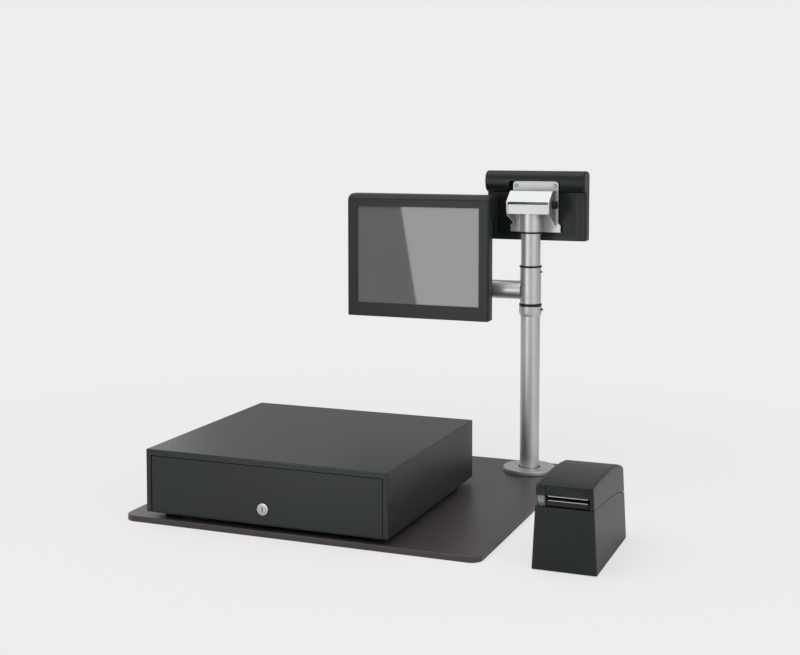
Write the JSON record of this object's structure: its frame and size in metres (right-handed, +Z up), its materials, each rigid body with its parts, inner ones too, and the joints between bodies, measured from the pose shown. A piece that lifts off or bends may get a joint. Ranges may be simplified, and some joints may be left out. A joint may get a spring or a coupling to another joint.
{
  "type": "cash register",
  "caption": "Modular cash register: base plate with cash drawer and display pole, operator and customer screens on swivelling heads, receipt printer beside it.",
  "frame": {"origin": "middle of the underside of the base plate", "axes": "+X to the right along the drawer front, +Y to the back, +Z up"},
  "size_m": [0.8016, 0.6, 0.5746],
  "materials": {
    "dark_steel": "satin powder coat",
    "plate_paint": "satin warm grey lacquer",
    "zinc_steel": "bright zinc",
    "satin_aluminium": "satin anodised",
    "dark_plastic": "fine textured moulding",
    "black_plastic": "fine textured moulding",
    "grey_plastic": "smooth moulding",
    "black_rubber": "matt",
    "screen_glass": "hard coated touch glass",
    "panel": "display module",
    "paper": "thermal paper"
  },
  "bodies": {
    "counter_base": {"base_plate": "plate_paint", "drawer_cabinet": "dark_steel", "foot_front_left": "black_rubber", "foot_front_right": "black_rubber", "foot_rear_left": "black_rubber", "foot_rear_right": "black_rubber", "outer_runner_left": "zinc_steel", "outer_runner_right": "zinc_steel", "release_solenoid": "black_plastic", "kick_spring": "zinc_steel", "pole_flange": "satin_aluminium", "pole_tube": "satin_aluminium", "clamp_collar": "satin_aluminium", "clamp_screw": "black_plastic", "ring_below_arm": "black_plastic", "ring_above_arm": "black_plastic", "ring_below_head": "black_plastic", "printer_base": "black_plastic", "printer_body": "dark_plastic", "print_head": "black_plastic", "paper_guide": "zinc_steel"},
    "drawer": {"inner_runner_left": "zinc_steel", "inner_runner_right": "zinc_steel", "drawer_tray": "dark_steel", "drawer_front": "dark_steel", "lock_collar": "zinc_steel", "till_insert": "black_plastic"},
    "lock": {"lock_plug": "zinc_steel", "lock_cam": "zinc_steel"},
    "note_clip_1": {"note_clip_1": "black_plastic"},
    "note_clip_2": {"note_clip_2": "black_plastic"},
    "note_clip_3": {"note_clip_3": "black_plastic"},
    "note_clip_4": {"note_clip_4": "black_plastic"},
    "latch": {"latch_hook": "zinc_steel"},
    "plunger": {"solenoid_plunger": "zinc_steel"},
    "arm": {"display_arm": "satin_aluminium", "arm_set_screw": "zinc_steel", "arm_end_ring": "black_plastic"},
    "operator_head": {"operator_swivel_head": "satin_aluminium"},
    "operator_screen": {"operator_bracket": "satin_aluminium", "operator_bezel": "dark_plastic", "operator_glass": "screen_glass", "operator_panel": "panel", "operator_rear_cover": "dark_plastic"},
    "operator_screw_left": {"operator_thumb_screw_left": "black_plastic"},
    "operator_screw_right": {"operator_thumb_screw_right": "black_plastic"},
    "customer_head": {"customer_swivel_head": "satin_aluminium"},
    "customer_screen": {"customer_bracket": "satin_aluminium", "customer_bezel": "dark_plastic", "customer_glass": "screen_glass", "customer_panel": "panel", "customer_rear_cover": "dark_plastic"},
    "customer_screw_left": {"customer_thumb_screw_left": "black_plastic"},
    "customer_screw_right": {"customer_thumb_screw_right": "black_plastic"},
    "printer_lid": {"printer_cover": "dark_plastic", "tear_bar": "zinc_steel"},
    "platen": {"platen_roller": "black_rubber"},
    "paper": {"paper_roll": "paper"},
    "release_lever": {"release_lever": "grey_plastic"},
    "power_rocker": {"power_rocker": "black_plastic"}
  },
  "joints": [
    {"name": "drawer_slide", "type": "slide", "parent": "counter_base", "child": "drawer", "axis": [0, -1, 0], "range_m": [0, 0.31]},
    {"name": "lock_turn", "type": "hinge", "parent": "drawer", "child": "lock", "pos_m": [-0.0534, -0.29, 0.0446], "axis": [0, 1, 0], "range_deg": [0, 90]},
    {"name": "note_clip_1_lift", "type": "hinge", "parent": "drawer", "child": "note_clip_1", "pos_m": [-0.20212, 0.056, 0.0786], "axis": [-1, 0, 0], "range_deg": [0, 50]},
    {"name": "note_clip_2_lift", "type": "hinge", "parent": "drawer", "child": "note_clip_2", "pos_m": [-0.10297, 0.056, 0.0786], "axis": [-1, 0, 0], "range_deg": [0, 50]},
    {"name": "note_clip_3_lift", "type": "hinge", "parent": "drawer", "child": "note_clip_3", "pos_m": [-0.00382, 0.056, 0.0786], "axis": [-1, 0, 0], "range_deg": [0, 50]},
    {"name": "note_clip_4_lift", "type": "hinge", "parent": "drawer", "child": "note_clip_4", "pos_m": [0.09532, 0.056, 0.0786], "axis": [-1, 0, 0], "range_deg": [0, 50]},
    {"name": "latch_turn", "type": "hinge", "parent": "counter_base", "child": "latch", "pos_m": [-0.0534, 0.1057, 0.0686], "axis": [1, 0, 0], "range_deg": [0, 12]},
    {"name": "plunger_slide", "type": "slide", "parent": "counter_base", "child": "plunger", "axis": [0, 0, -1], "range_m": [0, 0.0026]},
    {"name": "arm_swivel", "type": "hinge", "parent": "counter_base", "child": "arm", "pos_m": [0.237, 0.2315, 0.36175], "axis": [0, 0, 1], "range_deg": [-15, 90]},
    {"name": "operator_swivel", "type": "hinge", "parent": "arm", "child": "operator_head", "pos_m": [0.0323, 0.2315, 0.39], "axis": [0, 0, 1], "range_deg": [-75, 3]},
    {"name": "operator_tilt", "type": "hinge", "parent": "operator_head", "child": "operator_screen", "pos_m": [0.0323, 0.2315, 0.417], "axis": [1, 0, 0], "range_deg": [-12, 8]},
    {"name": "operator_screw_left_turn", "type": "hinge", "parent": "operator_head", "child": "operator_screw_left", "pos_m": [0.0323, 0.2315, 0.417], "axis": [1, 0, 0], "range_deg": [0, 360]},
    {"name": "operator_screw_right_turn", "type": "hinge", "parent": "operator_head", "child": "operator_screw_right", "pos_m": [0.0323, 0.2315, 0.417], "axis": [1, 0, 0], "range_deg": [0, 360]},
    {"name": "customer_swivel", "type": "hinge", "parent": "counter_base", "child": "customer_head", "pos_m": [0.237, 0.2315, 0.48], "axis": [0, 0, 1], "range_deg": [-90, 12]},
    {"name": "customer_tilt", "type": "hinge", "parent": "customer_head", "child": "customer_screen", "pos_m": [0.237, 0.2315, 0.5126], "axis": [1, 0, 0], "range_deg": [-8, 12]},
    {"name": "customer_screw_left_turn", "type": "hinge", "parent": "customer_head", "child": "customer_screw_left", "pos_m": [0.237, 0.2315, 0.5126], "axis": [1, 0, 0], "range_deg": [0, 360]},
    {"name": "customer_screw_right_turn", "type": "hinge", "parent": "customer_head", "child": "customer_screw_right", "pos_m": [0.237, 0.2315, 0.5126], "axis": [1, 0, 0], "range_deg": [0, 360]},
    {"name": "printer_lid_hinge", "type": "hinge", "parent": "counter_base", "child": "printer_lid", "pos_m": [0.4397, -0.0914, 0.0794], "axis": [-1, 0, 0], "range_deg": [0, 75]},
    {"name": "platen_turn", "type": "hinge", "parent": "printer_lid", "child": "platen", "pos_m": [0.4397, -0.2718, 0.112], "axis": [1, 0, 0], "continuous": true},
    {"name": "paper_turn", "type": "hinge", "parent": "counter_base", "child": "paper", "pos_m": [0.4397, -0.1758, 0.045], "axis": [1, 0, 0], "continuous": true},
    {"name": "lever_press", "type": "hinge", "parent": "counter_base", "child": "release_lever", "pos_m": [0.409, -0.2698, 0.099], "axis": [1, 0, 0], "range_deg": [0, 8], "stiffness_Nm_per_rad": 0.3},
    {"name": "rocker_press", "type": "hinge", "parent": "counter_base", "child": "power_rocker", "pos_m": [0.4647, -0.091, 0.02], "axis": [1, 0, 0], "range_deg": [0, 10]}
  ],
  "couplings": [
    {"joint": "plunger_slide", "follows": "latch_turn", "m_per_rad": 0.012},
    {"joint": "paper_turn", "follows": "platen_turn", "ratio": -0.1842}
  ]
}
